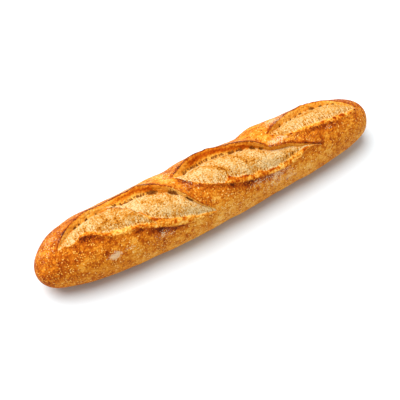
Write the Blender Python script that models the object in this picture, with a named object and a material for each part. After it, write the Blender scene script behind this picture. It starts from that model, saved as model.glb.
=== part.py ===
"""A scored baguette as one faceted solid, for Blender 4.5: blender --background --python part.py

The loaf lies along X on its flat base, with Z up and its origin under its middle, at the base. It is worked
out in millimetres and written in metres. A place on the crust is given by x and either its angle round the
loaf or q, its distance over the crust from the top line, positive towards the back (+Y).

Four slanting cuts have opened in the oven. From front to back, each opening has the rim of the front crust, a
torn strip that ends in a fringe, the swollen bloom, a crease, and the wall of the ear, a flap of crust that
stands up along the back of the cut.
"""

import math
from dataclasses import dataclass

import bmesh
import bpy
import numpy as np

# Driving dimensions, in millimetres.
LENGTH = 400.0
WIDTH = 75.5  # before the cuts opened
HEIGHT = 63.0  # likewise, without the ears

# The body of the loaf.
WAIST_SHARE = 0.42  # height of the widest line, as a share of HEIGHT
BELLY_OVERHANG = 4.0  # how far the round belly would reach below the table, where the base cuts it flat
BELLY_POWER = 2.5  # a superellipse: 2 is round, more is squarer
BASE_ROUNDING = 3.0
NEAR_END = (5.9, 2.1)  # powers of the taper at -X, which is the blunter end
FAR_END = (4.0, 2.6)
GIRTH = ((-205, 0.925), (-165, 0.975), (-110, 0.975), (-50, 1.01), (70, 0.98), (130, 0.97), (180, 0.985))
BEND = ((-200, -5.5), (-170, -0.9), (-110, -3), (-50, -4.2), (20, -3), (90, -0.2), (150, 0), (200, -1.8))
BACK_SWELL = ((-70, -0.5), (-42, 0), (-18, 1.5), (10, 0.4), (48, -2), (74, 1.2), (100, 0))  # behind the ears

# The surface is laid out finely, then thinned to the facets that its rims and creases need.
ROWS = 400
SIDES = 220
FINE_SIDES = 360  # samples round a ring, from which its SIDES corners are picked
TOP_WEIGHT = 2.6  # corners stand this much closer on the scored top than on the base
TRIANGLES = 9600  # of the thinned loaf

MM = 0.001
CRUST_COLOUR = (0.66, 0.30, 0.06, 1.0)
CRUST_ROUGHNESS = 0.6


@dataclass(frozen=True)
class Cut:
    """One opening. Every field is a list of (x, value) in millimetres, joined by a smooth curve."""

    edge: tuple  # q of the front crust's rim
    strip: tuple  # width of the torn strip behind the rim
    ear: tuple  # q of the ear's crest
    wall: tuple  # width of the ear's inner wall
    ear_height: tuple
    crease_depth: tuple
    bulge: tuple  # how far the bloom swells above a straight line from fringe to crease


CUTS = (
    Cut(  # at the near end
        edge=((-175, -7), (-157, -10), (-149, -7.5), (-141, -9.5), (-125, -19), (-106, -24), (-76, -30)),
        strip=((-175, 0.5), (-150, 1.5), (-120, 2.5), (-76, 2.5)),
        ear=((-175, -6), (-166, 1.5), (-147, 12), (-128, 16), (-114, 13), (-104, 3.5), (-92, -6), (-76, -22)),
        wall=((-175, 2), (-160, 3.5), (-135, 5), (-120, 3.5), (-104, 1.5), (-76, 1.5)),
        ear_height=((-175, 0.5), (-160, 3), (-134, 4.2), (-122, 2.8), (-112, 0.8), (-76, 0.3)),
        crease_depth=((-175, 0.3), (-160, 1.8), (-115, 2.4), (-104, 0.4), (-76, 0.1)),
        bulge=((-175, 0.5), (-150, 2), (-120, 3), (-95, 2), (-76, 0.2)),
    ),
    Cut(  # behind and beyond the first
        edge=((-130, 15.5), (-116, 12), (-104, 3), (-95, -4), (-81, -26), (-67, -36), (-50, -41), (-14, -46)),
        strip=((-130, 0.5), (-92, 1), (-80, 8), (-60, 8), (-30, 4), (-14, 1)),
        ear=((-130, 16), (-102, 18), (-83, 18), (-69, 13.5), (-50, -1.5), (-29, -28), (-14, -43)),
        wall=((-130, 1), (-114, 3), (-100, 9), (-80, 8.5), (-45, 5), (-14, 1)),
        ear_height=((-130, 0.2), (-122, 1.6), (-112, 3.6), (-70, 5), (-50, 4.2), (-30, 2.5), (-14, 0.3)),
        crease_depth=((-130, 0), (-112, 0.8), (-100, 3), (-70, 3.5), (-45, 2.6), (-14, 0.5)),
        bulge=((-112, 0), (-90, 1.5), (-65, 3), (-40, 2.5), (-14, 0.2)),
    ),
    Cut(  # the widest
        edge=((-40, 8), (-20, -11), (9, -25), (41, -33.5), (75, -37.5), (92, -36), (110, -30)),
        strip=((-40, 0.3), (-7, 0.6), (10, 5.5), (40, 4.5), (80, 3.5), (110, 1)),
        ear=((-42, 10), (-18, 17.5), (4, 21), (34, 12), (48, 5.5), (66, -9), (82, -15.5), (112, -26)),
        wall=((-42, 2), (-20, 5), (5, 8.5), (30, 7), (70, 3.5), (110, 1)),
        ear_height=((-42, 0.5), (-28, 4), (-12, 5.8), (10, 5.6), (55, 4), (98, 1.6), (112, 0.3)),
        crease_depth=((-42, 0.3), (-25, 2.5), (10, 3.6), (50, 3), (80, 2), (110, 0.4)),
        bulge=((-40, 0.5), (-10, 3), (30, 3.6), (70, 2.6), (110, 0.3)),
    ),
    Cut(  # at the far end
        edge=((74, 1), (82, -5.5), (90, -9), (105, -10), (160, -10.5), (184, -6)),
        strip=((74, 0.3), (95, 1), (125, 3), (165, 2.5), (184, 0.5)),
        ear=((72, 3), (84, 9), (112, 18), (132, 20.5), (149, 17), (161, 11), (184, -4.5)),
        wall=((72, 1.5), (90, 4), (120, 5.5), (145, 4.5), (184, 1)),
        ear_height=((72, 0.4), (90, 3.5), (115, 4.4), (135, 4.2), (155, 2.8), (184, 0.3)),
        crease_depth=((72, 0.3), (90, 2), (130, 2.8), (165, 1.6), (184, 0.3)),
        bulge=((72, 0.4), (95, 2), (130, 3), (165, 2), (184, 0.3)),
    ),
)
RIM_HEIGHT = 1.3  # of the front crust's rim
RIM_SLOPE = 2.5  # how far the rim's rise reaches down the front crust
STRIP_CROWN = 0.7  # how far the torn strip rounds out between the rim and its fringe
STRIP_FALL = 0.9  # share of RIM_HEIGHT that it has lost at its fringe
MOST_STRIP = 0.4  # of an opening's width, where it is narrow
MOST_WALL = 0.45  # likewise for the ear's inner wall
BULGE_POWER = 0.8  # below 1 makes the bloom's swelling fuller
FRINGE_DROP = 1.2  # from the torn strip's fringe down to the bloom
FRINGE_WIDTH = 2.2  # over which that drop falls
EAR_SLOPE = 7.5  # how far the ear's rise reaches behind it
EAR_POWER = 1.15  # of that rise's fall: 1 is sharp at the crest, 2 is round
EAR_ROUNDING = 1.8  # of the ear's crest
TIP_FADE = 7.0  # length over which a cut fades out at each of its tips

# Hand-shaped unevenness, as waves (height, length along X, turns round the loaf, phase).
WAVES = ((0.25, 71.0, 1, 0.4), (0.22, 43.0, 2, 2.1), (0.18, 29.0, 3, 4.0))


def curve(points, x):
    """The smooth curve through (x, value) points, level past its ends: cubics that overshoot no point."""
    at, value = np.array(points, float).T
    rise = np.diff(value) / np.diff(at)
    before, after = rise[:-1], rise[1:]
    turns = before * after <= 0
    inner = np.where(turns, 0, 2 * before * after / np.where(turns, 1, before + after))
    slope = np.concatenate([rise[:1], inner, rise[-1:]])
    x = np.clip(x, at[0], at[-1])
    k = np.clip(np.searchsorted(at, x, side="right") - 1, 0, len(at) - 2)
    step = at[k + 1] - at[k]
    t = (x - at[k]) / step
    start = (1 + 2 * t) * (1 - t) ** 2 * value[k] + t * (1 - t) ** 2 * step * slope[k]
    end = t**2 * (3 - 2 * t) * value[k + 1] + t**2 * (t - 1) * step * slope[k + 1]
    return start + end


def ramp(start, end, x):
    """0 up to start, 1 from end on, and smooth between. It falls along x where end is less than start."""
    t = np.clip((x - start) / (end - start), 0, 1)
    return t * t * (3 - 2 * t)


def rounded_max(a, b, rounding):
    """The larger of a and b, rounded where they are closer than rounding."""
    near = np.maximum(rounding - np.abs(a - b), 0) / rounding
    return np.maximum(a, b) + near**2 * rounding / 4


def rounded_min(a, b, rounding):
    """The smaller of a and b, rounded in the same way."""
    return -rounded_max(-a, -b, rounding)


def taper(x):
    """The loaf's thickness along X, as a share: a superellipse with its own powers at each end."""
    share = np.abs(2 * x / LENGTH)
    near = np.maximum(1 - share ** NEAR_END[0], 0) ** (1 / NEAR_END[1])
    far = np.maximum(1 - share ** FAR_END[0], 0) ** (1 / FAR_END[1])
    return np.where(x < 0, near, far)


def uncut(x, angle):
    """Points of the loaf before it was cut: an elliptic top and a squarer belly, flat on the table."""
    thick = taper(x)
    girth = curve(GIRTH, x)
    waist = WAIST_SHARE * HEIGHT
    c, s = np.cos(angle), np.sin(angle)
    half = WIDTH / 2 * thick * girth
    above = (HEIGHT - waist) * thick * girth
    below = (waist + BELLY_OVERHANG) * thick
    y = half * np.where(c >= 0, s, np.sign(s) * np.abs(s) ** (2 / BELLY_POWER))
    z = waist + np.where(c >= 0, above * c, -below * np.abs(c) ** (2 / BELLY_POWER))
    y = y + curve(BEND, x)
    return np.stack([x + 0 * angle, y, rounded_max(z, 0, BASE_ROUNDING)], axis=-1)


def cut_relief(cut, x, q):
    """How far one cut moves the crust out (+) or in (-) at the place (x, q)."""
    edge, ear = curve(cut.edge, x), curve(cut.ear, x)
    width = np.maximum(ear - edge, 0.5)
    fringe = edge + np.minimum(curve(cut.strip, x), MOST_STRIP * width)
    crease = ear - np.minimum(curve(cut.wall, x), MOST_WALL * width)
    high, deep = curve(cut.ear_height, x), curve(cut.crease_depth, x)
    low, far = max(cut.edge[0][0], cut.ear[0][0]), min(cut.edge[-1][0], cut.ear[-1][0])
    fade = ramp(low - TIP_FADE / 2, low + TIP_FADE / 2, x) * ramp(far + TIP_FADE / 2, far - TIP_FADE / 2, x)

    front = RIM_HEIGHT * np.exp(-np.maximum(edge - q, 0) / RIM_SLOPE)
    across_strip = np.clip((q - edge) / (fringe - edge), 0, 1)
    strip = RIM_HEIGHT * (1 - STRIP_FALL * across_strip) + STRIP_CROWN * np.sin(math.pi * across_strip)
    across = np.clip((q - fringe) / (crease - fringe), 0, 1)
    swell = curve(cut.bulge, x) * np.sin(math.pi * across) ** BULGE_POWER
    step = ((1 - STRIP_FALL) * RIM_HEIGHT + FRINGE_DROP) * ramp(FRINGE_WIDTH, 0, q - fringe)
    bloom = swell + step - FRINGE_DROP * (1 - across) - deep * across
    wall = -deep + (high + deep) * np.maximum(q - crease, 0) / (ear - crease)
    behind = high * np.exp(-((np.maximum(q - ear, 0) / EAR_SLOPE) ** EAR_POWER))
    flap = rounded_min(wall, behind, EAR_ROUNDING)
    relief = np.select([q < edge, q < fringe, q < crease], [front, strip, bloom], flap)
    return relief * fade


def relief_at(x, q, angle):
    """How far the crust stands out from the uncut loaf, from its cuts, swell and waves, none on the base."""
    total = sum(cut_relief(cut, x, q) for cut in CUTS)
    for height, length, turns, phase in WAVES:
        total = total + height * np.sin(2 * math.pi * x / length + turns * angle + phase)
    degrees = np.degrees(angle)
    total = total + curve(BACK_SWELL, x) * ramp(0, 40, degrees) * ramp(130, 90, degrees)
    return total * ramp(135, 105, np.abs(degrees)) * ramp(0, 0.5, taper(x))


def ring_places(x):
    """q at FINE_SIDES angles round each ring, from the uncut crust's length."""
    angle = np.linspace(-math.pi, math.pi, FINE_SIDES + 1)
    points = uncut(x[:, None], angle[None, :])
    steps = np.linalg.norm(np.diff(points, axis=1), axis=2)
    along = np.concatenate([np.zeros((len(x), 1)), np.cumsum(steps, axis=1)], axis=1)
    return angle, along - along[:, FINE_SIDES // 2][:, None]


def cut_loaf(x, angle, q):
    """Points of the scored loaf: the uncut ones moved along their normals by the relief."""
    points = uncut(x, angle)
    nudge_x, nudge_angle = 0.5, math.radians(0.5)
    limit = LENGTH / 2 - 1e-3
    ahead, behind = np.minimum(x + nudge_x, limit), np.maximum(x - nudge_x, -limit)
    along = uncut(ahead, angle) - uncut(behind, angle)
    round_it = uncut(x, angle + nudge_angle) - uncut(x, angle - nudge_angle)
    normal = np.cross(along, round_it)
    normal /= np.linalg.norm(normal, axis=-1, keepdims=True)
    return points + normal * relief_at(x, q, angle)[..., None]


def loaf_grid():
    """ROWS rings of SIDES points, evenly spaced along the outline, and the two tips, all centred across Y."""
    fine = LENGTH / 2 * -np.cos(np.linspace(0, math.pi, 2001))
    outline = np.concatenate([[0], np.cumsum(np.hypot(np.diff(fine), WIDTH / 2 * np.diff(taper(fine))))])
    x = np.interp(np.linspace(0, outline[-1], ROWS + 2)[1:-1], outline, fine)
    angle, q = ring_places(x)
    weight = 1 + (TOP_WEIGHT - 1) * ramp(math.radians(120), math.radians(80), np.abs(angle))
    spacing = np.concatenate([[0], np.cumsum((weight[1:] + weight[:-1]) / 2)])
    picked = np.interp(np.arange(SIDES) / SIDES * spacing[-1], spacing, angle)
    picked_q = np.stack([np.interp(picked, angle, row) for row in q])
    rings = cut_loaf(np.repeat(x[:, None], SIDES, axis=1), np.repeat(picked[None, :], ROWS, axis=0), picked_q)
    ends = np.array([-LENGTH / 2, LENGTH / 2])
    tips = np.stack([ends, curve(BEND, ends), np.full(2, WAIST_SHARE * HEIGHT)], axis=-1)
    middle = np.array([0, (rings[..., 1].max() + rings[..., 1].min()) / 2, 0])
    return rings - middle, tips - middle


def build_loaf():
    """The loaf: a band of quads between each pair of rings, a fan of triangles at each end, then thinned."""
    rings, tips = loaf_grid()
    mesh = bmesh.new()
    loops = [[mesh.verts.new(point * MM) for point in ring] for ring in rings]
    for loop, following in zip(loops, loops[1:]):
        for i in range(SIDES):
            j = (i + 1) % SIDES
            mesh.faces.new((loop[i], loop[j], following[j], following[i]))
    for loop, tip_point in zip((loops[0], loops[-1]), tips):
        tip = mesh.verts.new(tip_point * MM)
        for i in range(SIDES):
            mesh.faces.new((loop[i], loop[(i + 1) % SIDES], tip))
    bmesh.ops.recalc_face_normals(mesh, faces=mesh.faces)
    data = bpy.data.meshes.new("loaf")
    mesh.to_mesh(data)
    mesh.free()
    data.shade_smooth()
    loaf = bpy.data.objects.new("loaf", data)
    thinning = loaf.modifiers.new("thinning", "DECIMATE")
    thinning.decimate_type = "COLLAPSE"
    thinning.ratio = TRIANGLES / (2 * SIDES * ROWS)
    return loaf


def crust_material():
    """Baked crust, golden brown and dull."""
    material = bpy.data.materials.new("baked_crust")
    material.use_nodes = True
    shader = material.node_tree.nodes["Principled BSDF"]
    shader.inputs["Base Color"].default_value = CRUST_COLOUR
    shader.inputs["Roughness"].default_value = CRUST_ROUGHNESS
    shader.inputs["Metallic"].default_value = 0.0
    return material


def main():
    for old in list(bpy.data.objects):
        bpy.data.objects.remove(old)
    loaf = build_loaf()
    loaf.data.materials.append(crust_material())
    bpy.context.scene.collection.objects.link(loaf)


if __name__ == "__main__":
    main()
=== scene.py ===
"""A scored baguette with its finished looks, for Blender 4.5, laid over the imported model.

The loaf is one closed surface worked out with numpy. A place on it is given by x, along the loaf, and q, the
distance over the crust from the top line, positive towards the back (+Y). Four slanting cuts have opened in
the oven. From front to back, each opening has the rim of the front crust, a torn strip that ends in a
ragged fringe, the swollen bloom, a crease with bubble pits, and the ear, a flap of crust with a burnt crest.
Sizes are in millimetres until a mesh or a material is made, and those are in metres.
"""

import logging
import math
from dataclasses import dataclass
from enum import Enum
from functools import partial

import bpy
import numpy as np
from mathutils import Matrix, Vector


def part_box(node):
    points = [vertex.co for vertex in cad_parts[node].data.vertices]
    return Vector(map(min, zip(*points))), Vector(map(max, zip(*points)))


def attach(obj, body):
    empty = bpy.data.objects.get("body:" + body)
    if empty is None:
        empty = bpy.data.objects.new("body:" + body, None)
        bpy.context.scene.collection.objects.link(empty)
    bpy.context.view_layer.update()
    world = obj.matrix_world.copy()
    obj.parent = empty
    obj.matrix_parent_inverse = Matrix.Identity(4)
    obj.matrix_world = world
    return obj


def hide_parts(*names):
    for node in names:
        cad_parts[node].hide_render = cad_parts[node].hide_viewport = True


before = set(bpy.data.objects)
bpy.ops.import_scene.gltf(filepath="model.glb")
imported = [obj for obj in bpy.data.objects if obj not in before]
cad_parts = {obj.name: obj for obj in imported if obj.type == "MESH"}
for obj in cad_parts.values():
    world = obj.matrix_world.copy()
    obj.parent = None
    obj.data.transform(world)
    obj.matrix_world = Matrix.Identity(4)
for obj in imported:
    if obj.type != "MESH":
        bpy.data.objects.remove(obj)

MM = 0.001
Array = np.ndarray
Fields = dict[str, Array]  # named numbers, one for each place on the surface
Socket = bpy.types.NodeSocket
Skin = tuple[Socket, Socket]  # a finish's colour and its height
log = logging.getLogger("baguette")


# ---- arithmetic on whole arrays


def curve(points: tuple, x: Array) -> Array:
    """The smooth curve through points, level past its ends.

    Between two points runs a cubic. Its slope at a point is the harmonic mean of the slopes of the straight
    lines on either side, or level where those have opposite signs, so that it overshoots no point.

    Args:
        points: (x, value) pairs with rising x.
        x: where the curve is read.

    Returns:
        The curve's values at x.
    """
    at, value = np.array(points, float).T
    rise = np.diff(value) / np.diff(at)
    before, after = rise[:-1], rise[1:]
    turns = before * after <= 0
    inner = np.where(turns, 0, 2 * before * after / np.where(turns, 1, before + after))
    slope = np.concatenate([rise[:1], inner, rise[-1:]])
    x = np.clip(x, at[0], at[-1])
    k = np.clip(np.searchsorted(at, x, side="right") - 1, 0, len(at) - 2)
    step = at[k + 1] - at[k]
    t = (x - at[k]) / step
    start = (1 + 2 * t) * (1 - t) ** 2 * value[k] + t * (1 - t) ** 2 * step * slope[k]
    end = t**2 * (3 - 2 * t) * value[k + 1] + t**2 * (t - 1) * step * slope[k + 1]
    return start + end


def ramp(start: float, end: float, x: Array) -> Array:
    """0 up to start, 1 from end on, and 3t^2 - 2t^3 between; it falls along x if end is less than start."""
    t = np.clip((x - start) / (end - start), 0, 1)
    return t * t * (3 - 2 * t)


def hump(distance: Array, width: float) -> Array:
    """A bell of height 1 at distance 0: e to the power of minus (distance / width) squared."""
    return np.exp(-((distance / width) ** 2))


def rounded_max(a: Array, b: Array, rounding: float) -> Array:
    """The larger of a and b, plus a parabola's rounding where they are closer than rounding."""
    near = np.maximum(rounding - np.abs(a - b), 0) / rounding
    return np.maximum(a, b) + near**2 * rounding / 4


def cell_hash(cell: Array, seed: int) -> Array:
    """A fixed number from 0 to 1 for each cell of a lattice: its coordinates times large odd numbers, mixed.

    Args:
        cell: whole numbers, three to a cell on the last axis.
        seed: chooses one of many such fields.

    Returns:
        One number for each cell.
    """
    parts = cell.astype(np.int64).astype(np.uint32)
    mixed = parts[..., 0] * np.uint32(374761393) + parts[..., 1] * np.uint32(668265263)
    mixed = mixed + parts[..., 2] * np.uint32(2246822519) + np.uint32(seed * 40503 + 977)
    mixed = (mixed ^ (mixed >> np.uint32(13))) * np.uint32(1274126177)
    mixed = (mixed ^ (mixed >> np.uint32(15))) * np.uint32(2654435761)
    return (mixed ^ (mixed >> np.uint32(16))).astype(float) / 2**32


def noise(points: Array, size: float, seed: int, octaves: int = 1) -> Array:
    """Smooth value noise from -1 to 1: hashed corners of a cubic lattice, blended with 3t^2 - 2t^3 weights.

    Args:
        points: places in millimetres.
        size: the lattice spacing in millimetres.
        seed: chooses the field.
        octaves: how many layers are added, each half as large and half as strong as the one before.

    Returns:
        One number for each point.
    """
    total, weight = np.zeros(points.shape[:-1]), 0.0
    for octave in range(octaves):
        place = points / (size / 2**octave) + 31.7 * octave
        base = np.floor(place)
        t = place - base
        t = t * t * (3 - 2 * t)
        value = 0.0
        for corner in np.ndindex(2, 2, 2):
            share = np.prod(np.where(np.array(corner) == 1, t, 1 - t), axis=-1)
            value = value + share * cell_hash(base + corner, seed + octave)
        total += (2 * value - 1) * 0.5**octave
        weight += 0.5**octave
    return total / weight


def uneven(layers: tuple, place: Array) -> Array:
    """The sum of layers of noise: each one's amount times noise of its size, seed and perhaps octaves."""
    return sum(amount * noise(place, *layer) for amount, *layer in layers)


# ---- the loaf


@dataclass(frozen=True)
class Cut:
    """One opening. Every tuple holds (x, value) pairs in millimetres, joined by a smooth curve.

    Tones run from 0, barely baked, to 1, burnt.
    """

    edge: tuple  # q of the front crust's rim
    strip: tuple  # width of the torn strip behind the rim
    ear: tuple  # q of the ear's crest
    wall: tuple  # width of the ear's inner wall
    ear_height: tuple
    crease_depth: tuple
    bulge: tuple  # how far the bloom swells above a straight line from fringe to crease
    rim_bake_and_shade: tuple  # how dark the crust is below the rim: darker bake plus painted shade under the lip
    ear_tone: tuple  # how dark the ear's crest is
    bloom_tone: tuple
    pockets: tuple  # (x, half length) of the large holes in the crease
    bridges: tuple  # likewise of the lumps of crumb that span it

    def span(self) -> tuple[float, float]:
        """Where the opening starts and ends along x."""
        return max(self.edge[0][0], self.ear[0][0]), min(self.edge[-1][0], self.ear[-1][0])


@dataclass
class Opening:
    """One cut's outlines at every place on the surface."""

    edge: Array
    fringe: Array
    crease: Array
    ear: Array
    fade: Array  # 1 inside the cut's span, 0 past its tips


CUTS = (
    Cut(  # at the near end
        edge=((-175, -7), (-157, -10), (-149, -7.5), (-141, -9.5), (-125, -19), (-106, -23), (-96, -24),
              (-76, -33)),
        strip=((-175, 0.5), (-152, 1.2), (-143, 3.5), (-120, 4.5), (-100, 4), (-76, 3)),
        ear=((-175, -6), (-166, 1.5), (-147, 12), (-128, 16), (-114, 13), (-104, 3.5), (-92, -6), (-76, -22)),
        wall=((-175, 2), (-160, 3.5), (-135, 5), (-120, 3.5), (-104, 1.5), (-76, 1.5)),
        ear_height=((-175, 0.5), (-160, 3), (-134, 4.2), (-122, 2.8), (-112, 0.8), (-76, 0.3)),
        crease_depth=((-175, 0.3), (-160, 1.8), (-115, 2.4), (-104, 0.4), (-76, 0.1)),
        bulge=((-175, 0.5), (-150, 2), (-120, 3), (-95, 2), (-76, 0.2)),
        rim_bake_and_shade=((-175, 0), (-156, 0.16), (-147, 0.46), (-138, 0.36), (-124, 0.14), (-105, 0.06), (-94, 0.3),
                  (-76, 0.12)),
        ear_tone=((-175, 0.1), (-160, 0.24), (-140, 0.2), (-120, 0.2), (-108, 0), (-76, 0)),
        bloom_tone=((-175, 0.2), (-155, 0.12), (-140, 0.16), (-120, 0.24), (-105, 0.28), (-92, 0.36),
                    (-76, 0.4)),
        pockets=((-149, 1.5), (-144, 1.2), (-136, 1.8), (-124, 1.2)),
        bridges=((-130, 1.2), (-117, 1)),
    ),
    Cut(  # behind and beyond the first
        edge=((-130, 15.5), (-116, 12), (-104, 2), (-95, -5), (-86, -20), (-80, -29), (-67, -36), (-50, -41),
              (-14, -46)),
        strip=((-130, 0.5), (-116, 1.8), (-104, 2.2), (-92, 2.8), (-86, 7), (-79, 9), (-60, 8), (-30, 4),
               (-14, 1)),
        ear=((-130, 16), (-102, 18), (-83, 18), (-69, 13.5), (-50, -1.5), (-29, -28), (-14, -43)),
        wall=((-130, 1), (-114, 3), (-100, 9), (-80, 8.5), (-62, 6), (-46, 3.2), (-14, 1)),
        ear_height=((-130, 0.2), (-122, 1.6), (-112, 3.6), (-70, 5), (-50, 4.2), (-30, 2.5), (-14, 0.3)),
        crease_depth=((-130, 0), (-112, 0.8), (-100, 3), (-70, 3.5), (-52, 2.8), (-38, 1.2), (-14, 0.3)),
        bulge=((-112, 0), (-90, 1.5), (-65, 3), (-40, 2.5), (-14, 0.2)),
        rim_bake_and_shade=((-86, 0), (-78, 0.3), (-62, 0.3), (-45, 0.14), (-30, 0), (-14, 0)),
        ear_tone=((-130, 0.25), (-112, 0.35), (-90, 0.9), (-70, 0.9), (-58, 0.4), (-46, 0.12), (-14, 0)),
        bloom_tone=((-112, 0.02), (-90, 0.04), (-76, 0.2), (-58, 0.2), (-45, 0.12), (-14, 0.06)),
        pockets=((-105, 1), (-98, 1.3), (-92, 0.8), (-77, 0.8), (-66, 3.6), (-48.5, 4), (-37, 2.6)),
        bridges=((-101, 1), (-88, 1), (-80, 1), (-72, 1.2), (-60, 1.2), (-54, 1.4), (-43.5, 1.2)),
    ),
    Cut(  # the widest
        edge=((-40, 8), (-20, -11), (9, -25), (41, -33.5), (75, -37.5), (90, -35.5), (106, -29), (113, -29),
              (124, -33)),
        strip=((-40, 0.3), (-8, 0.5), (4, 1.5), (8, 5), (10.5, 8), (15, 6), (28, 5.6), (38, 4.6), (45, 7),
               (50, 5), (72, 4.5), (84, 6.5), (110, 2)),
        ear=((-42, 10), (-18, 17.5), (4, 21), (34, 12), (48, 5.5), (60, -4.5), (67, -10.5), (76, -13.5),
             (88, -16), (96, -20), (106, -24), (114, -27.8), (124, -32)),
        wall=((-42, 2), (-24, 6.2), (5, 8.5), (30, 7), (60, 3.6), (80, 3.4), (94, 4), (108, 1.5), (124, 1)),
        ear_height=((-42, 0.5), (-28, 4), (-12, 5.8), (10, 5.6), (55, 4), (98, 1.8), (112, 1), (124, 0.3)),
        crease_depth=((-42, 0.3), (-25, 2.5), (10, 3.6), (50, 3), (80, 2), (110, 0.4)),
        bulge=((-40, 0.5), (-10, 3), (30, 3.6), (70, 2.6), (110, 0.3)),
        rim_bake_and_shade=((-40, 0.12), (-25, 0.18), (0, 0.26), (25, 0.28), (45, 0.34), (60, 0.26), (76, 0.05),
                  (110, 0)),
        ear_tone=((-42, 0.1), (-24, 0.35), (-4, 0.9), (38, 0.9), (62, 0.35), (90, 0.25), (112, 0.4)),
        bloom_tone=((-40, 0.05), (-10, 0.15), (15, 0.15), (40, 0.2), (70, 0.05), (110, 0.1)),
        pockets=((-26, 1.5), (-9, 1.2), (28, 2), (40, 1.2), (51, 2.4), (58, 1.5)),
        bridges=((-30, 1), (22.5, 1.2), (33, 1), (46, 1), (64, 1.4)),
    ),
    Cut(  # at the far end
        edge=((74, 1), (82, -5.5), (90, -9), (105, -10), (122, -11.5), (135, -13), (150, -14), (165, -13.5),
              (184, -7)),
        strip=((74, 0.3), (95, 2), (115, 3.5), (130, 4.5), (160, 4), (184, 1)),
        ear=((72, 3), (84, 9), (112, 18), (132, 20.5), (149, 17), (161, 11), (184, -4.5)),
        wall=((72, 1.5), (90, 4), (120, 5.5), (145, 4.5), (184, 1)),
        ear_height=((72, 0.4), (90, 3.5), (115, 4.4), (135, 4.2), (155, 2.8), (184, 0.3)),
        crease_depth=((72, 0.3), (90, 2), (130, 2.8), (165, 1.6), (184, 0.3)),
        bulge=((72, 0.4), (95, 2), (130, 3), (165, 2), (184, 0.3)),
        rim_bake_and_shade=((74, 0.05), (105, 0.08), (122, 0.26), (134, 0.36), (146, 0.28), (158, 0.04), (184, 0)),
        ear_tone=((72, 0.5), (86, 0.35), (100, 0.25), (130, 0.3), (150, 0.2), (160, 0.06), (184, 0)),
        bloom_tone=((72, 0.45), (88, 0.32), (98, 0.16), (125, 0.24), (155, 0.26), (184, 0.2)),
        pockets=((92, 1.4), (103, 1), (109, 1.6), (116, 1), (123, 1.6), (131, 1), (139, 3), (149, 2),
                 (156, 1), (162, 1.6)),
        bridges=((99, 1.2), (127, 1.2), (144, 1)),
    ),
)


class Layer(Enum):
    """What a patch changes: the tone of crust, bloom or torn crust, or the flour on the crust, partly painted
    sheen.
    """

    CRUST = "crust"
    BLOOM = "bloom"
    TORN = "torn"
    FLOUR_AND_SHEEN = "flour_and_sheen"


@dataclass(frozen=True)
class Patch:
    """A soft oval of darker or paler tone, or of flour and painted sheen; its place and half sizes in
    millimetres.
    """

    x: float
    q: float
    long: float
    wide: float
    amount: float  # what it adds at its middle

    def at(self, x: Array, q: Array) -> Array:
        """What the patch adds at each place: a bell along the loaf times a bell across it."""
        return self.amount * hump(x - self.x, self.long) * hump(q - self.q, self.wide)


@dataclass(frozen=True)
class Band:
    """A soft stripe along one of a cut's lines, in millimetres."""

    amount: float
    middle: float  # how far from the line it is strongest
    half_width: float

    def at(self, distance: Array) -> Array:
        """The amount times a bell of the distance from the line."""
        return self.amount * hump(distance - self.middle, self.half_width)


@dataclass(frozen=True)
class Fold:
    """A wrinkle in a bloom's skin, where one lobe of dough rose over another."""

    path: tuple  # (x, q) in millimetres, with rising x
    height: float
    width: float
    tone: float  # how much darker its crest is baked

    def share(self, x: Array, q: Array) -> Array:
        """A bell across the path: the distance is shortened by the path's slope, and the ends are faded.

        Args:
            x, q: places along the loaf and across it.

        Returns:
            1 on the path, falling to 0.
        """
        slope = (curve(self.path, x + 0.2) - curve(self.path, x - 0.2)) / 0.4
        away = (q - curve(self.path, x)) / np.sqrt(1 + slope**2)
        start, end = self.path[0][0], self.path[-1][0]
        return hump(away, self.width) * ramp(start - 2, start + 2, x) * ramp(end + 1.5, end - 1, x)


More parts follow.
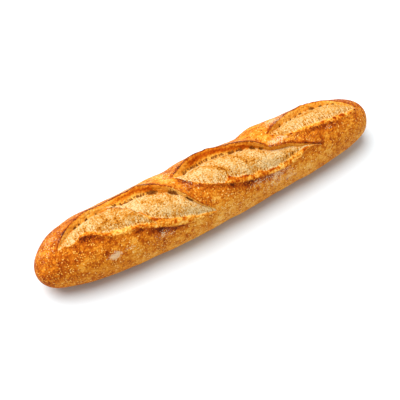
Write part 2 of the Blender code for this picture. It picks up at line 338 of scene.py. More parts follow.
PATCHES = {  # each row is a Patch's x, q, long, wide and amount
    Layer.CRUST: (
        # the rows at q -62 near both ends darken the bottom there
        (-166, -24, 7, 6, 0.1), (-160, -33, 5, 4, -0.2), (-148, -22, 9, 6, 0.12), (-145, -62, 22, 8, 0.14),
        (122, -62, 20, 8, 0.12), (150, -25, 12, 7, -0.08), (134, -42, 8, 8, -0.12),
        (-185, -38, 12, 8, -0.12), (-186, 6, 10, 10, -0.12), (-108, -34, 8, 12, -0.24),
        (-112, -48, 20, 6, -0.16), (-44, -47, 14, 8, -0.24), (2, -47, 8, 8, -0.12), (50, -38, 9, 5, -0.06),
        (-51, 14, 7, 14, -0.2), (-30, 4, 8, 16, 0.22), (-166, 6, 7, 7, 0.14), (-152, 20, 16, 6, 0.12),
        (176, -12, 8, 12, 0.08), (156, -38, 24, 8, -0.06), (78, -47, 44, 8, -0.2), (-82, -35, 11, 4, 0.2),
        (16, -38, 16, 6, 0.12), (98, -24, 9, 4, 0.12),
    ),
    Layer.BLOOM: (
        (-143, -4, 2.4, 5, 0.22), (-122, -2, 2.6, 6, 0.26), (-112, -8, 1.8, 5, 0.25), (42, -15, 5, 3, 0.2),
        (14, 3, 6, 4, 0.14), (-92, 8, 5, 5, -0.1), (-18, 3, 12, 7, -0.1), (22, -2, 14, 9, 0.06),
        (-64, 3, 9, 4, 0.4), (44, -28, 7, 4, 0.14), (50, 0, 5, 3, 0.4), (-57, 1, 6, 3, 0.2),
        (85, -30, 5, 3, 0.3), (2, -17, 4, 3, 0.25), (-166, -4, 5, 3, 0.3), (-54, -9, 2.5, 4, 0.25),
        (-42, -16, 2.5, 3, 0.2), (57.5, -8, 2.2, 6, 0.34), (80, -27, 12, 5, 0.36), (121, 8, 14, 2.5, 0.22),
    ),
    Layer.TORN: (
        (-108, -21, 26, 6, -0.2), (26, -29, 8, 3, -0.12), (13, -18, 5, 4, 0.38), (31, -25, 7, 3, 0.16),
        (46, -28, 4, 4, 0.15), (-86, -14, 8, 4, 0.15), (-104, 2, 14, 8, 0.2), (-113, 8, 15, 3, 0.28),
        (45, -32, 8, 4, 0.15), (24, -24, 16, 6, 0.12), (-68, -25, 8, 6, 0.14), (74, -36, 22, 5, -0.22),
        (-46, -39, 16, 6, -0.26), (80, -15, 20, 5, 0.1), (112, 14, 34, 7, -0.04), (-46, -3, 7, 6, -0.14),
        (-16, 15, 8, 4, 0.16), (-106, 16, 14, 6, -0.12), (-139, -9.6, 3, 2, 0.25),
    ),
    # rows behind the crests, on the upper back and at the near end are partly painted sheen, a pale glancing
    # reflection
    Layer.FLOUR_AND_SHEEN: (
        (-127, -39.5, 8, 4, 0.5), (-110, -38, 5, 3, 0.2), (-75, -42, 14, 6, 0.22), (46, -38, 24, 4, 0.2),
        (-28, -6, 12, 8, 0.16), (70, -42, 18, 5, 0.16), (78, -8, 12, 4, 0.36), (122, -30, 8, 3, 0.14),
        (92, 18, 20, 9, 0.22), (140, -18, 8, 3, 0.22), (-170, 12, 14, 8, 0.12), (-182, 4, 16, 12, 0.14),
        (-46, 14, 8, 12, 0.18), (70, -50, 60, 7, 0.18), (-150, 26, 40, 8, 0.12), (-60, 26, 50, 8, 0.12),
    ),
}

FOLDS = (
    Fold(((-25, 4), (-17, 6), (-12, 6), (-6, 4), (0, -1.5), (7.5, -7.5), (9.5, -11), (11, -17)),
         0.5, 2.2, 0.28),
    Fold(((24, -1), (28, -3), (31, -6), (33, -9), (36, -14)), 0.4, 2.6, 0.32),
    Fold(((4, -5), (10, -9), (15, -14)), 0.3, 2.4, 0.25),
    Fold(((-2, 9.5), (10, 7), (18, 4.5), (26, 3)), 0.3, 1.8, 0.18),
    Fold(((-82, 0), (-76, -3), (-70, -6.5), (-62, -14)), 0.3, 2.6, 0.2),
    Fold(((-133, -8), (-126, -6.3), (-121, -4.5), (-116, -4)), 0.4, 1.4, 0.3),
    Fold(((-108, -10), (-100, -8), (-94, -9)), 0.3, 1.4, 0.2),
)


@dataclass
class Loaf:
    """The baguette's whole surface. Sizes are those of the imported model's loaf, in millimetres."""

    length: float
    width: float = 75.5  # before the cuts opened
    height: float = 63.0  # likewise, without the ears
    waist_share: float = 0.42  # height of the widest line, as a share of height
    belly_overhang: float = 4.0  # how far the round belly would reach below the table
    belly_power: float = 2.5
    base_rounding: float = 3.0
    near_end: tuple = (5.9, 2.1)
    far_end: tuple = (4.0, 2.6)
    girth: tuple = (
        (-205, 0.925), (-165, 0.975), (-110, 0.975), (-50, 1.01), (70, 0.98), (130, 0.97), (180, 0.985)
    )
    bend: tuple = (
        (-200, -5.5), (-170, -0.9), (-110, -3), (-50, -4.2), (20, -3), (90, -0.2), (150, 0), (200, -1.8)
    )
    back_swell: tuple = ((-70, -0.5), (-42, 0), (-18, 1.5), (10, 0.4), (48, -2), (74, 1.2), (100, 0))
    waves: tuple = ((0.25, 71.0, 1, 0.4), (0.22, 43.0, 2, 2.1), (0.18, 29.0, 3, 4.0))

    rim_height: float = 1.3
    rim_slope: float = 2.5
    strip_crown: float = 0.7
    strip_fall: float = 0.9
    most_strip: float = 0.4
    most_wall: float = 0.45
    bulge_power: float = 0.8
    fringe_drop: float = 1.2
    fringe_width: float = 1.6
    ear_slope: float = 7.5
    ear_power: float = 1.15
    ear_rounding: float = 1.4
    ear_lean: float = 1.3  # how far the crest leans over the crease
    tip_fade: float = 7.0

    tear: float = 0.8  # how far the fringe is torn to and fro
    tear_length: float = 7.0
    teeth: float = 2.6  # the length of its teeth
    pocket_depth: float = 1.2
    pocket_width: float = 0.5  # share of its half length, past half a millimetre
    bridge_height: float = 1.3
    bridge_length: float = 2.4
    reach: float = 12.0  # farthest distance that the finish is told

    # layers of noise, as rows of amount, size, seed and octaves
    crust_lumps: tuple = ((0.30, 16, 31), (0.12, 5, 32), (0.10, 2.2, 37))
    bloom_lumps: tuple = ((0.45, 10, 33), (0.25, 4.5, 34), (0.22, 2, 35))
    torn_lumps: tuple = ((0.45, 3.4, 36), (0.22, 1.8, 38))
    ear_lumps: tuple = ((0.14, 11, 21), (0.10, 4, 22))

    bake: float = 0.495  # the crust's even tone
    bake_lumps: tuple = ((0.13, 38, 41), (0.10, 13, 42, 2))
    toast_lumps: tuple = ((0.08, 13, 43),)
    char_lumps: tuple = ((0.08, 7, 45),)
    flour_lumps: tuple = ((0.06, 12, 47, 2),)
    end_bake: float = 0.10  # added at the near end
    front_bake: float = -0.14  # added low on the front, which is paler there
    back_bake: float = -0.05  # added low on the back
    # darker baking and painted shade under the raised lip, below each rim
    rim_bake_and_shade_band: Band = Band(1.0, 2, 4.5)
    crest_band: Band = Band(0.58, 0.6, 1.7)
    crest_glow: Band = Band(0.10, 0, 7)
    # flour and painted sheen on the crust behind each crest
    ear_flour_and_sheen: Band = Band(0.22, 6, 5)
    wall_tone: float = 0.14
    wall_crest: Band = Band(0.70, 0, 0.7)
    # deeper baking and painted shade on the inner wall, under the overhanging crest
    wall_bake_and_shade_band: Band = Band(0.50, -3.2, 2.3)
    strip_tone: float = 0.28
    strip_band: Band = Band(0.18, 0, 0.9)
    gash_tone: float = 0.32

    rows: int = 520
    columns: int = 190
    fine_sides: int = 720
    top_density: float = 0.9  # corners per millimetre, added to those below it
    side_density: float = 0.5
    base_density: float = 0.3
    line_density: float = 0.9

    def taper(self, x: Array) -> Array:
        """The thickness along x: (1 - |2x/length|^a)^(1/b), with its own a and b at each end.

        Args:
            x: places along the loaf.

        Returns:
            The share of the full thickness.
        """
        share = np.abs(2 * x / self.length)
        near = np.maximum(1 - share ** self.near_end[0], 0) ** (1 / self.near_end[1])
        far = np.maximum(1 - share ** self.far_end[0], 0) ** (1 / self.far_end[1])
        return np.where(x < 0, near, far)

    def uncut(self, x: Array, angle: Array) -> Array:
        """Points of the loaf before it was cut.

        Above the waist a section is half an ellipse; below, half a superellipse, flattened at the table.

        Args:
            x: places along the loaf.
            angle: places round it, 0 at the top and positive towards the back.

        Returns:
            The points, with x, y and z on the last axis.
        """
        thick = self.taper(x)
        girth = curve(self.girth, x)
        waist = self.waist_share * self.height
        c, s = np.cos(angle), np.sin(angle)
        half = self.width / 2 * thick * girth
        above = (self.height - waist) * thick * girth
        below = (waist + self.belly_overhang) * thick
        power = 2 / self.belly_power
        y = half * np.where(c >= 0, s, np.sign(s) * np.abs(s) ** power)
        z = waist + np.where(c >= 0, above * c, -below * np.abs(c) ** power)
        y = y + curve(self.bend, x)
        return np.stack([x + 0 * angle, y, rounded_max(z, 0 * z, self.base_rounding)], axis=-1)

    def openings(self, x: Array, ragged: Array) -> list[Opening]:
        """Each cut's outlines and fade at every place.

        Args:
            x: places along the loaf.
            ragged: how far the fringe is torn back from its smooth line there, in millimetres.

        Returns:
            One Opening for each cut.
        """
        result = []
        for cut in CUTS:
            edge, ear = curve(cut.edge, x), curve(cut.ear, x)
            width = np.maximum(ear - edge, 0.5)
            strip = np.minimum(curve(cut.strip, x), self.most_strip * width)
            fringe = edge + np.maximum(strip + ragged * ramp(2, 10, width), 0.2)
            crease = ear - np.minimum(curve(cut.wall, x), self.most_wall * width)
            low, far = cut.span()
            half = self.tip_fade / 2
            fade = ramp(low - half, low + half, x) * ramp(far + half, far - half, x)
            result.append(Opening(edge, fringe, crease, ear, fade))
        return result

    def cut_relief(self, cut: Cut, o: Opening, x: Array, q: Array) -> Array:
        """How far one cut moves the crust out or in.

        The front crust rises exponentially to the rim. The strip falls from there to the fringe, with a
        sine's crown. The bloom is a straight fall to the crease plus a power of a sine. The flap is the
        smaller of a straight rise from the crease and an exponential fall behind the crest.

        Args:
            cut: the cut.
            o: its outlines.
            x, q: places along the loaf and across it.

        Returns:
            The relief in millimetres.
        """
        high, deep = curve(cut.ear_height, x), curve(cut.crease_depth, x)
        front = self.rim_height * np.exp(-np.maximum(o.edge - q, 0) / self.rim_slope)
        across_strip = np.clip((q - o.edge) / (o.fringe - o.edge), 0, 1)
        strip = self.rim_height * (1 - self.strip_fall * across_strip)
        strip = strip + self.strip_crown * np.sin(math.pi * across_strip)
        across = np.clip((q - o.fringe) / np.maximum(o.crease - o.fringe, 0.1), 0, 1)
        swell = curve(cut.bulge, x) * np.sin(math.pi * across) ** self.bulge_power
        fall = self.fringe_drop * ramp(0.5, 3, o.fringe - o.edge)
        drop = (1 - self.strip_fall) * self.rim_height + fall
        step = drop * ramp(self.fringe_width, 0, q - o.fringe)
        bloom = swell + step - fall * (1 - across) - deep * across
        wall = -deep + (high + deep) * np.maximum(q - o.crease, 0) / (o.ear - o.crease)
        behind = high * np.exp(-((np.maximum(q - o.ear, 0) / self.ear_slope) ** self.ear_power))
        flap = -rounded_max(-wall, -behind, self.ear_rounding)
        relief = np.select([q < o.edge, q < o.fringe, q < o.crease], [front, strip, bloom], flap)
        return relief * o.fade

    def places(self) -> tuple[Array, Array, Array]:
        """Where the surface is sampled: evenly along its outline, and across it most closely at the cuts.

        Returns:
            x, the angle and q, each with one row for a ring and one column for a corner.
        """
        fine = self.length / 2 * -np.cos(np.linspace(0, math.pi, 4001))
        steps = np.hypot(np.diff(fine), self.width / 2 * np.diff(self.taper(fine)))
        outline = np.concatenate([[0], np.cumsum(steps)])
        x = np.interp(np.linspace(0, outline[-1], self.rows + 2)[1:-1], outline, fine)[:, None]
        angle = np.linspace(-math.pi, math.pi, self.fine_sides + 1)[None, :]
        points = self.uncut(x, angle)
        step = np.linalg.norm(np.diff(points, axis=1), axis=2)
        q = np.concatenate([0 * x, np.cumsum(step, axis=1)], axis=1)
        q = q - q[:, self.fine_sides // 2][:, None]
        per_mm = self.top_density * ramp(56, 44, np.abs(q)) + self.side_density * ramp(92, 84, np.abs(q))
        per_mm = per_mm + self.base_density
        flat_x = x + 0 * q
        for o in self.openings(flat_x, self.ragged(flat_x)):
            for line in (o.edge, o.fringe, o.crease, o.ear):
                per_mm = per_mm + self.line_density * o.fade * hump(q - line, 1.5)
        gap = 1 / per_mm
        count = np.concatenate([0 * x, np.cumsum(2 * step / (gap[:, 1:] + gap[:, :-1]), axis=1)], axis=1)
        share = count / count[:, -1:]
        row = 2.0 * np.arange(self.rows)[:, None]
        wanted = (np.arange(self.columns) / self.columns)[None, :] + row
        known = (share + row).ravel()
        picked_angle = np.interp(wanted, known, (angle + 0 * q).ravel())
        picked_q = np.interp(wanted, known, q.ravel())
        return x + 0 * picked_q, picked_angle, picked_q

    def ragged(self, x: Array) -> Array:
        """How far the fringe is torn back or stands out at x: two sizes of noise along the loaf."""
        line = np.stack([x, 0 * x, 0 * x], axis=-1)
        return self.tear * (noise(line, self.tear_length, 11) + 0.8 * np.abs(noise(line, self.teeth, 12)))

    def normals(self, x: Array, angle: Array) -> Array:
        """Unit normals of the uncut loaf: the cross product of small steps along it and round it.

        Args:
            x: places along the loaf.
            angle: places round it.

        Returns:
            The normals.
        """
        limit = self.length / 2 - 1e-3
        ahead, behind = np.minimum(x + 0.5, limit), np.maximum(x - 0.5, -limit)
        along = self.uncut(ahead, angle) - self.uncut(behind, angle)
        nudge = math.radians(0.5)
        round_it = self.uncut(x, angle + nudge) - self.uncut(x, angle - nudge)
        normal = np.cross(along, round_it)
        return normal / np.linalg.norm(normal, axis=-1, keepdims=True)

    def surface(self) -> tuple[Array, Fields]:
        """The finished surface's points and, for each, the masks and tones that the crust finish reads.

        Returns:
            The points in millimetres, and the named fields.
        """
        x, angle, q = self.places()
        openings = self.openings(x, self.ragged(x))
        place = self.uncut(x, angle)
        line = np.stack([x, 0 * x, 0 * x], axis=-1)
        wavy = 1 + uneven(self.ear_lumps, line)

        relief, lean = np.zeros((2, *x.shape))
        for cut, o in zip(CUTS, openings):
            relief += self.cut_relief(cut, o, x, q) * np.where(q > o.crease, wavy, 1)
            lean += self.ear_lean * hump(q - o.ear, 3) * o.fade * ramp(0.5, 3, curve(cut.ear_height, x))
        for height, length, turns, phase in self.waves:
            relief += height * np.sin(2 * math.pi * x / length + turns * angle + phase)
        degrees = np.degrees(angle)
        relief += curve(self.back_swell, x) * ramp(0, 40, degrees) * ramp(130, 90, degrees)

        fields, owner = self.distances(x, q, openings)
        fields |= self.tones(x, q, place, openings, owner)
        opened = ramp(-0.3, 0.5, fields["inside"])
        bloom = opened * ramp(-0.3, 0.5, fields["fringe"]) * ramp(0.4, -0.4, fields["crease"])
        relief += (1 - opened) * uneven(self.crust_lumps, place)
        relief += bloom * uneven(self.bloom_lumps, place)
        relief += (opened - bloom) * uneven(self.torn_lumps, place)
        for fold in FOLDS:
            relief += bloom * fold.height * fold.share(x, q)
        relief -= np.maximum(fields["pocket"], 0) * self.pocket_depth
        relief -= np.minimum(fields["pocket"], 0) * self.bridge_height
        relief *= ramp(135, 105, np.abs(degrees)) * ramp(0, 0.5, self.taper(x))

        slope = np.gradient(angle, axis=1) / np.maximum(np.gradient(q, axis=1), 1e-3)
        leaning = angle - lean * slope
        points = self.uncut(x, leaning) + self.normals(x, angle) * relief[..., None]
        return points, fields

    def distances(self, x: Array, q: Array, openings: list[Opening]) -> tuple[Fields, Array]:
        """How far each place lies from the lines of the opening that it is in or nearest to, in millimetres.

        Args:
            x, q: places along the loaf and across it.
            openings: the cuts' outlines there.

        Returns:
            First inside, positive within an opening; fringe and crease, positive behind those lines; and
            wall, the width of the ear's inner wall. Then the number of the cut that it is in, or -1.
        """
        near = np.zeros((4, *x.shape))
        near[0] = -self.reach
        owner = np.full(x.shape, -1)
        for index, o in enumerate(openings):
            here = np.minimum(q - o.edge, o.ear - q) * o.fade - 3 * (1 - o.fade)
            nearer = here > near[0]
            near = np.where(nearer, [here, q - o.fringe, q - o.crease, o.ear - o.crease], near)
            owner = np.where(nearer & (here > 0), index, owner)
        near = np.clip(near, -self.reach, self.reach)
        return dict(zip(("inside", "fringe", "crease", "wall"), near)), owner

    def tones(self, x: Array, q: Array, place: Array, openings: list[Opening], owner: Array) -> Fields:
        """How dark each layer is over the surface, from baking and, below the rims and under the crests,
        painted shade; with its pockets, and its flour, which is partly painted sheen.

        Args:
            x, q: places along the loaf and across it.
            place: the same places in space.
            openings: the cuts' outlines there.
            owner: the number of the cut whose opening each place is in.

        Returns:
            bake, toast and char, the tones of crust, bloom and torn crust; pocket, the large holes in
            the creases, less than 0 on the bridges; and flour, how thickly the crust is dusted, partly
            painted sheen behind the crests, on the upper back and at the near end.
        """
        bake = self.bake + uneven(self.bake_lumps, place) + self.end_bake * ramp(-150, -190, x)
        bake += self.front_bake * ramp(-44, -62, q) + self.back_bake * ramp(50, 75, q)
        toast = uneven(self.toast_lumps, place)
        char = uneven(self.char_lumps, place)
        flour_and_sheen = uneven(self.flour_lumps, place)
        pocket = np.zeros(x.shape)
        gash = ramp(0.1, 0.6, noise(place, 5, 50))
        broken, blotchy = 1 + 0.3 * noise(place, 6, 48), 1 + 0.6 * noise(place, 4, 49)
        for index, (cut, o) in enumerate(zip(CUTS, openings)):
            below, behind, opened = o.edge - q, q - o.ear, owner == index
            ear_tone = curve(cut.ear_tone, x) * o.fade
            crest = np.sqrt(np.maximum(ear_tone, 0))
            rim_bake_and_shade = curve(cut.rim_bake_and_shade, x) * o.fade * broken
            # below each rim: darker baking and painted shade under the raised lip
            bake += rim_bake_and_shade * self.rim_bake_and_shade_band.at(below) * ramp(-0.6, 0.4, below)
            bake += crest * np.where(behind > -1, self.crest_band.at(behind) + self.crest_glow.at(behind), 0)
            # flour and painted sheen behind the crest
            flour_and_sheen += ear_tone * self.ear_flour_and_sheen.at(behind)

            toast += np.where(opened, curve(cut.bloom_tone, x), 0)
            # the inner wall below the crest: deeper baking and painted shade under the overhang
            band = self.wall_bake_and_shade_band.at(behind) * ramp(0, -1.6, behind)
            wall_tone = self.wall_tone + crest * self.wall_crest.at(behind) + ear_tone * band
            strip_tone = self.strip_tone + self.strip_band.at(q - o.edge) + self.gash_tone * gash
            char += np.where(opened, np.where(q > (o.fringe + o.crease) / 2, wall_tone, strip_tone), 0)
            for at_x, half in cut.pockets:
                across = hump(q - o.crease, 0.5 + self.pocket_width * half)
                pocket = np.maximum(pocket, ramp(half + 1, half - 1, np.abs(x - at_x)) * across * opened)
            for at_x, half in cut.bridges:
                pocket -= hump(x - at_x, half) * hump(q - o.crease, self.bridge_length) * opened
        added = {Layer.CRUST: bake, Layer.BLOOM: toast, Layer.TORN: char, Layer.FLOUR_AND_SHEEN: flour_and_sheen}
        for layer, rows in PATCHES.items():
            for row in rows:
                added[layer] += Patch(*row).at(x, q) * blotchy
        for fold in FOLDS:
            toast += fold.tone * fold.share(x, q)
        return {"bake": bake, "toast": toast, "char": char, "pocket": pocket, "flour_and_sheen": np.clip(flour_and_sheen, 0, 1)}

    def mesh(self) -> bpy.types.Mesh:
        """The closed mesh: quads between neighbouring rings, and a fan of triangles at each tip.

        Returns:
            The mesh in metres, with its fields.
        """
        points, fields = self.surface()
        middle = (points[..., 1].max() + points[..., 1].min()) / 2
        points[..., 1] -= middle
        ends = np.array([-self.length / 2, self.length / 2])
        waist = np.full(2, self.waist_share * self.height)
        tips = np.stack([ends, curve(self.bend, ends) - middle, waist], axis=-1)
        corners = np.concatenate([points.reshape(-1, 3), tips]) * MM

        index = np.arange(self.rows * self.columns).reshape(self.rows, self.columns)
        turned = np.roll(index, -1, axis=1)
        quads = np.stack([index[:-1], index[1:], turned[1:], turned[:-1]], axis=-1).reshape(-1, 4)
        near_tip, far_tip = len(corners) - 2, len(corners) - 1
        near = np.stack([np.full(self.columns, near_tip), index[0], turned[0]], axis=-1)
        far = np.stack([np.full(self.columns, far_tip), turned[-1], index[-1]], axis=-1)
        data = bpy.data.meshes.new("loaf_crust")
        data.from_pydata(corners, [], quads.tolist() + near.tolist() + far.tolist())
        for name, field in fields.items():
            values = np.append(field, [field[0].mean(), field[-1].mean()]).astype(np.float32)
            data.attributes.new(name, "FLOAT", "POINT").data.foreach_set("value", values)
        data.shade_smooth()
        return data

    def build(self) -> bpy.types.Object:
        """The finished piece, dressed and riding on the model's body.

        Returns:
            Its object.
        """
        piece = bpy.data.objects.new("loaf_crust", self.mesh())
        bpy.context.scene.collection.objects.link(piece)
        piece.data.materials.append(BakedCrust().material())
        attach(piece, "root")
        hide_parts("loaf")
        log.info("%s: %d corners", piece.name, len(piece.data.vertices))
        return piece


# ---- finishes


def linear(colour: str) -> tuple[float, ...]:
    """An sRGB hex colour as linear red, green, blue and alpha."""
    parts = (int(colour[i : i + 2], 16) / 255 for i in (1, 3, 5))
    return (*(c / 12.92 if c <= 0.04045 else ((c + 0.055) / 1.055) ** 2.4 for c in parts), 1.0)


def feed(node: bpy.types.Node, feeds: tuple | dict) -> None:
    """Feeds a node's inputs.

    Args:
        node: the node.
        feeds: the socket linked to each input or the value it is set to, in order, or by name or number.
    """
    for key, value in feeds.items() if isinstance(feeds, dict) else enumerate(feeds):
        if isinstance(value, Socket):
            node.id_data.links.new(value, node.inputs[key])
        else:
            node.inputs[key].default_value = value


def add_node(
    tree: bpy.types.NodeTree, kind: str, feeds: tuple | dict = (), operation: str = "", out: int | str = 0,
    **settings: object,
) -> Socket:
    """Adds a node.

    Args:
        tree: the material's nodes.
        kind: the node's type name, without its ShaderNode.
        feeds: what its inputs are fed.
        operation: what it does, for a maths node.
        out: the output that is wanted, by name or number.
        settings: its other properties.

    Returns:
        That output.
    """
    made = tree.nodes.new("ShaderNode" + kind)
    if operation:
        made.operation = operation
    for name, value in settings.items():
        setattr(made, name, value)
    feed(made, feeds)
    return made.outputs[out]


def pattern(place: Socket, spacing: float, **more: float) -> dict:
    """What a noise or cell pattern is fed: coordinates, a scale from a spacing in millimetres, and more."""
    return {"Vector": place, "Scale": 1 / (spacing * MM), **more}


def fill_ramp(tones: Socket, stops: tuple) -> Socket:
    """Gives a colour ramp its stops.

    Args:
        tones: the colour output of a ramp node.
        stops: (tone, sRGB hex colour) pairs with rising tones.

    Returns:
        The same output.
    """
    elements = tones.node.color_ramp.elements
    while len(elements) < len(stops):
        elements.new(0.5)
    for element, (tone, colour) in zip(elements, stops):
        element.position = tone
        element.color = linear(colour)
    return tones


@dataclass(frozen=True)
class BakedCrust:
    """Wheat crust baked on a hearth.

    The surface's fields say where crust, torn crust and bloom lie and how dark each is there, from baking
    and, below the rims and under the crests, painted shade. The nodes add what is finer than the mesh's
    corners: blisters, granules, fibres, pits painted dark as shade, and flour that is partly painted sheen.
    """

    crust_tones: tuple = (
        (0.0, "#FCCC80"), (0.2, "#F4B24C"), (0.38, "#E28C22"), (0.5, "#CD6F10"), (0.66, "#AA4C04"),
        (0.83, "#822F02"), (1.0, "#521C02"),
    )
    torn_tones: tuple = (
        (0.0, "#FFC868"), (0.2, "#EC9E36"), (0.38, "#D47612"), (0.55, "#B44A02"), (0.75, "#862802"),
        (1.0, "#4A1402"),
    )
    bloom_tones: tuple = (
        (0.0, "#E6C38A"), (0.2, "#D5A45E"), (0.4, "#D08C32"), (0.6, "#C07014"), (0.8, "#8C460C"),
        (1.0, "#5C2C08"),
    )
    # dark brown painted into the holes in the creases, standing for the shade in them
    pit_shade_colour: str = "#8A4E1A"
    # pale cream of flour, also used for painted sheen
    flour_and_sheen_colour: str = "#F2D4A6"
    roughness: float = 0.6
    torn_roughness: float = 0.25  # added within an opening
    ior: float = 1.45
    gloss: float = 0.06

    blister_paleness: float = 0.54
    blister: float = 2.0  # millimetres from one to the next, as down to jag
    cell: float = 1.6
    granule: float = 1.4
    pinhole: float = 2.0
    perforation: float = 2.3
    mottle: float = 6.0
    crumple: float = 2.4
    patch: float = 7.0
    fibre: float = 1.5
    fibre_length: float = 9.0
    flour_grain: float = 1.2
    jag: float = 1.3
    bend: float = 3.0  # millimetres by which noise moves coordinates
    tear: float = 0.45  # likewise the opening's lines
    bump: float = 0.6  # millimetres for a height of 1
    pit_depth: float = 0.8
    crust_share: tuple = (0.22, 0.16, 0.10)  # of mottle, cells and crumple in the tone
    torn_share: tuple = (0.28, 0.20, -0.14)  # of crumple, cells and torn tips
    bloom_share: tuple = (0.15, 0.46, 0.18)  # of patches, granules and crumple

    def material(self) -> bpy.types.Material:
        """Crust, torn crust and bloom, mixed along the opening's lines, with pits in the creases painted dark
        as shade.

        Returns:
            The new material.
        """
        # Dry heat on a hearth leaves a thin, hard skin of browned starch: nearly matt, with a faint soft
        # sheen over the crust, and quite dull where the dough tore and on the bloom.
        made = bpy.data.materials.new("hearth_baked_wheat_crust")
        made.use_nodes = True
        add = partial(add_node, made.node_tree)
        names = ("inside", "fringe", "crease", "wall", "pocket", "bake", "toast", "char", "flour_and_sheen")
        field = {name: add("Attribute", out="Fac", attribute_name=name) for name in names}
        # Beside them stand place, in Object coordinates; bent, the same moved to and fro by noise; three
        # sorts of noise; and before, which is 1 before the crease and 0 behind it.
        place = field["place"] = add("TexCoord", out="Object")
        crumpled = pattern(place, self.crumple, Detail=3.0)
        field["crumpled"] = add("TexNoise", crumpled, normalize=False)
        field["ragged"] = add("TexNoise", pattern(place, self.jag), normalize=False)
        bent = add("TexNoise", crumpled, out="Color")
        field["bent"] = add("VectorMath", (bent, (self.bend * MM,) * 3, place), "MULTIPLY_ADD")
        field["fine"] = add("TexNoise", pattern(field["bent"], self.cell), normalize=False)

        opened = self.behind(add, field, "inside", 0.4)
        after = self.behind(add, field, "crease", 0.8)
        field["before"] = add("Math", (1.0, after), "SUBTRACT")
        bloom = add("Math", (self.behind(add, field, "fringe", 1.0), field["before"]), "MULTIPLY")
        bloom = add("Math", (bloom, opened), "MULTIPLY")
        pits = add("Math", (self.pits(add, field), opened), "MULTIPLY")

        colour, height = self.crust(add, field)
        for share, over in ((opened, self.torn(add, field)), (bloom, self.crumb(add, field))):
            colour = add("Mix", {0: share, 6: colour, 7: over[0]}, out=2, data_type="RGBA")
            height = add("Mix", {0: share, 2: height, 3: over[1]})
        # painted shade: the holes take the dark pit colour
        colour = add("Mix", {0: pits, 6: colour, 7: linear(self.pit_shade_colour)}, out=2, data_type="RGBA")
        height = add("Math", (pits, -self.pit_depth, height), "MULTIPLY_ADD")
        bumped = add("Bump", {"Height": height, "Distance": self.bump * MM})
        dull = add("Math", (opened, self.torn_roughness, self.roughness), "MULTIPLY_ADD")
        skin = {"Base Color": colour, "Normal": bumped, "Roughness": dull}
        skin |= {"IOR": self.ior, "Specular IOR Level": self.gloss}
        feed(made.node_tree.nodes["Principled BSDF"], skin)
        return made

    def behind(self, add: partial, field: dict, line: str, share: float) -> Socket:
        """The mask of what lies behind a line, which noise tears to and fro.

        Args:
            add: adds a node.
            field: the surface's fields.
            line: the field that holds the distance behind the line.
            share: how much of the tear this line has.

        Returns:
            0 before the line and 1 behind it, over half a millimetre.
        """
        torn = add("Math", (field["ragged"], share * self.tear, field[line]), "MULTIPLY_ADD")
        return add("MapRange", (torn, -0.25, 0.25))

    def pits(self, add: partial, field: dict) -> Socket:
        """The mask of the holes in the creases: a row of small ones, and the large pockets, painted dark as
        shade.

        The small ones are cells on a plane of x and the distance from the crease.

        Args:
            add: adds a node.
            field: the surface's fields.

        Returns:
            1 in a hole and 0 outside.
        """
        across = add("Math", (field["crumpled"], 2.5, field["crease"]), "MULTIPLY_ADD")
        flat = (add("SeparateXYZ", (field["bent"],)), add("Math", (across, 0.6 * MM), "MULTIPLY"))
        flat = pattern(add("CombineXYZ", flat), self.perforation)
        cells = add("TexVoronoi", flat, voronoi_dimensions="2D")
        hole = add("MapRange", (cells, 0.52, 0.36))
        away = add("Math", (field["crease"], 0.7), "SUBTRACT")
        away = add("Math", (away,), "ABSOLUTE")
        row = add("MapRange", (away, 1.5, 0.7))
        wide = add("MapRange", (field["wall"], 5.2, 6.2))
        unbridged = add("MapRange", (field["pocket"], -0.5, -0.1))
        for mask in (hole, wide, unbridged):
            row = add("Math", (row, mask), "MULTIPLY")
        large = add("Math", (field["ragged"], 0.7, field["pocket"]), "MULTIPLY_ADD")
        large = add("MapRange", (large, 0.4, 0.65))
        return add("Math", (row, large), "MAXIMUM")

    def crust(self, add: partial, field: dict) -> Skin:
        """The outer skin: cells of lighter and darker crust, pale blisters that stand up, and flour and
        painted sheen.

        Args:
            add: adds a node.
            field: the surface's fields.

        Returns:
            The colour and the height.
        """
        mottle = add("TexNoise", pattern(field["place"], self.mottle, Detail=3.0), normalize=False)
        parts = add("CombineXYZ", (mottle, field["fine"], field["crumpled"]))
        tone = add("VectorMath", (parts, self.crust_share), "DOT_PRODUCT", "Value")
        tone = add("Math", (tone, field["bake"]), "ADD")

        blisters = add("TexVoronoi", pattern(field["bent"], self.blister))
        chosen = add("SeparateColor", (blisters.node.outputs["Color"],))
        chosen = add("Math", (mottle, 0.9, chosen), "MULTIPLY_ADD")
        chosen = add("MapRange", (chosen, 0.3, 1.0))
        blisters = add("Math", (field["ragged"], 0.2, blisters), "MULTIPLY_ADD")
        dome = add("MapRange", (blisters, 0.46, 0.2))
        dome = add("Math", (dome, chosen), "MULTIPLY")
        tone = add("Math", (dome, -self.blister_paleness, tone), "MULTIPLY_ADD")
        colour = fill_ramp(add("ValToRGB", (tone,)), self.crust_tones)

        # flour, partly painted sheen, mixed over the crust in its pale colour
        grains = add("TexNoise", pattern(field["place"], self.flour_grain))
        dust_and_sheen = add("Math", (field["flour_and_sheen"], grains), "ADD")
        dust_and_sheen = add("MapRange", (dust_and_sheen, 0.72, 0.84, 0.0, 0.65))
        colour = add("Mix", {0: dust_and_sheen, 6: colour, 7: linear(self.flour_and_sheen_colour)}, out=2, data_type="RGBA")
        height = add("Math", (dome, 0.5, field["crumpled"]), "MULTIPLY_ADD")
        return colour, height

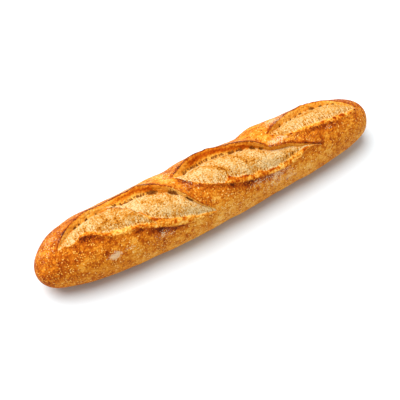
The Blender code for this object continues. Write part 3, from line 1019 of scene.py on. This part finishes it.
    def torn(self, add: partial, field: dict) -> Skin:
        """Torn crust: rough with pale torn tips on the strip, and smoother on the ear's inner wall.

        Args:
            add: adds a node.
            field: the surface's fields.

        Returns:
            The colour and the height.
        """
        tips = add("Math", (field["fringe"],), "ABSOLUTE")
        tips = add("MapRange", (tips, 1.0, 0.1))
        parts = add("CombineXYZ", (field["crumpled"], field["fine"], tips))
        tone = add("VectorMath", (parts, self.torn_share), "DOT_PRODUCT", "Value")
        rough = add("MapRange", {"Value": field["before"], "To Min": 0.5})
        tone = add("Math", (tone, rough, field["char"]), "MULTIPLY_ADD")
        return fill_ramp(add("ValToRGB", (tone,)), self.torn_tones), field["crumpled"]

    def crumb(self, add: partial, field: dict) -> Skin:
        """The bloom's skin: fine granules, golden patches, pinholes, and fibres drawn out from the fringe.

        The pinholes are painted darker, standing for the shade in them. The fibres are noise on a plane of x
        and the distance from the fringe, stretched along the second.

        Args:
            add: adds a node.
            field: the surface's fields.

        Returns:
            The colour and the height.
        """
        patches = add("TexNoise", pattern(field["place"], self.patch, Detail=3.0), normalize=False)
        grains = add("TexNoise", pattern(field["bent"], self.granule), normalize=False)
        parts = add("CombineXYZ", (patches, grains, field["crumpled"]))
        tone = add("VectorMath", (parts, self.bloom_share), "DOT_PRODUCT", "Value")
        tone = add("Math", (tone, field["toast"]), "ADD")

        along = add("Math", (add("SeparateXYZ", (field["place"],)), 1 / (self.fibre * MM)), "MULTIPLY")
        across = add("Math", (field["fringe"], 1 / self.fibre_length), "MULTIPLY")
        drawn = {"Vector": add("CombineXYZ", (along, across)), "Scale": 1.0}
        fibres = add("TexNoise", drawn, noise_dimensions="2D", normalize=False)
        close = add("MapRange", (field["fringe"], 9.0, 2.0, 0.0, 0.5))
        tone = add("Math", (fibres, close, tone), "MULTIPLY_ADD")

        # pinholes, sunk by the bump and painted darker as shade
        holes = add("TexVoronoi", pattern(field["bent"], self.pinhole))
        holes = add("MapRange", (holes, 0.3, 0.15, 0.0, 0.35))
        tone = add("Math", (tone, holes), "ADD")
        height = add("Math", (holes, -1.2, field["crumpled"]), "MULTIPLY_ADD")
        return fill_ramp(add("ValToRGB", (tone,)), self.bloom_tones), height


# ---- the studio


@dataclass(frozen=True)
class Studio:
    """A pale floor, a white room, one broad soft light from above and behind, and the camera, in metres."""

    floor_half: float = 4.0
    floor_colour: str = "#E0E6E9"
    room_light: float = 0.5
    key_strength: float = 4.2
    key_spread: float = 58.0  # degrees across
    key_from: tuple = (-0.22, 0.30, 0.93)
    camera_place: tuple = (-0.29185, -0.45783, 0.74849)
    camera_aim: tuple = (-0.01635, -0.00704, 0.025)
    view_angle: float = 26.0

    def floor(self) -> None:
        """A large square under the loaf."""
        h = self.floor_half
        data = bpy.data.meshes.new("floor")
        data.from_pydata([(-h, -h, 0), (h, -h, 0), (h, h, 0), (-h, h, 0)], [], [(0, 1, 2, 3)])
        floor = bpy.data.objects.new("floor", data)
        bpy.context.scene.collection.objects.link(floor)
        made = bpy.data.materials.new("matt_white_paper")
        made.use_nodes = True
        paper = {"Base Color": linear(self.floor_colour), "Roughness": 0.9, "Specular IOR Level": 0.0}
        feed(made.node_tree.nodes["Principled BSDF"], paper)
        data.materials.append(made)

    def aimed(self, data: object, name: str, place: tuple, aim: tuple) -> bpy.types.Object:
        """A lamp or camera that looks at aim and is level across.

        Args:
            data: the lamp or camera.
            name: its name.
            place: where it stands.
            aim: what it looks at.

        Returns:
            Its object.
        """
        made = bpy.data.objects.new(name, data)
        made.location = place
        made.rotation_euler = (Vector(aim) - Vector(place)).to_track_quat("-Z", "Y").to_euler()
        bpy.context.scene.collection.objects.link(made)
        return made

    def lights(self) -> None:
        """The room's even light, seen by the camera as white, and the key light."""
        world = bpy.data.worlds.new("white_room")
        world.use_nodes = True
        seen = add_node(world.node_tree, "LightPath", out="Is Camera Ray")
        strength = add_node(world.node_tree, "MapRange", {"Value": seen, "To Min": self.room_light})
        feed(world.node_tree.nodes["Background"], {"Color": (1, 1, 1, 1), "Strength": strength})
        bpy.context.scene.world = world
        key = bpy.data.lights.new("key", "SUN")
        key.energy = self.key_strength
        key.angle = math.radians(self.key_spread)
        self.aimed(key, "key", self.key_from, (0, 0, 0))

    def camera(self) -> None:
        """The camera, with everything sharp."""
        data = bpy.data.cameras.new("camera")
        data.sensor_width = 36.0
        data.lens = data.sensor_width / 2 / math.tan(math.radians(self.view_angle / 2))
        bpy.context.scene.camera = self.aimed(data, "camera", self.camera_place, self.camera_aim)


def main() -> None:
    """Builds the loaf and the studio."""
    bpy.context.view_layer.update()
    low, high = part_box("loaf")
    Loaf(length=(high[0] - low[0]) / MM).build()
    studio = Studio()
    studio.floor()
    studio.lights()
    studio.camera()
    bpy.context.scene.view_settings.view_transform = "Standard"


if __name__ == "__main__":
    logging.basicConfig(level=logging.INFO)
    main()
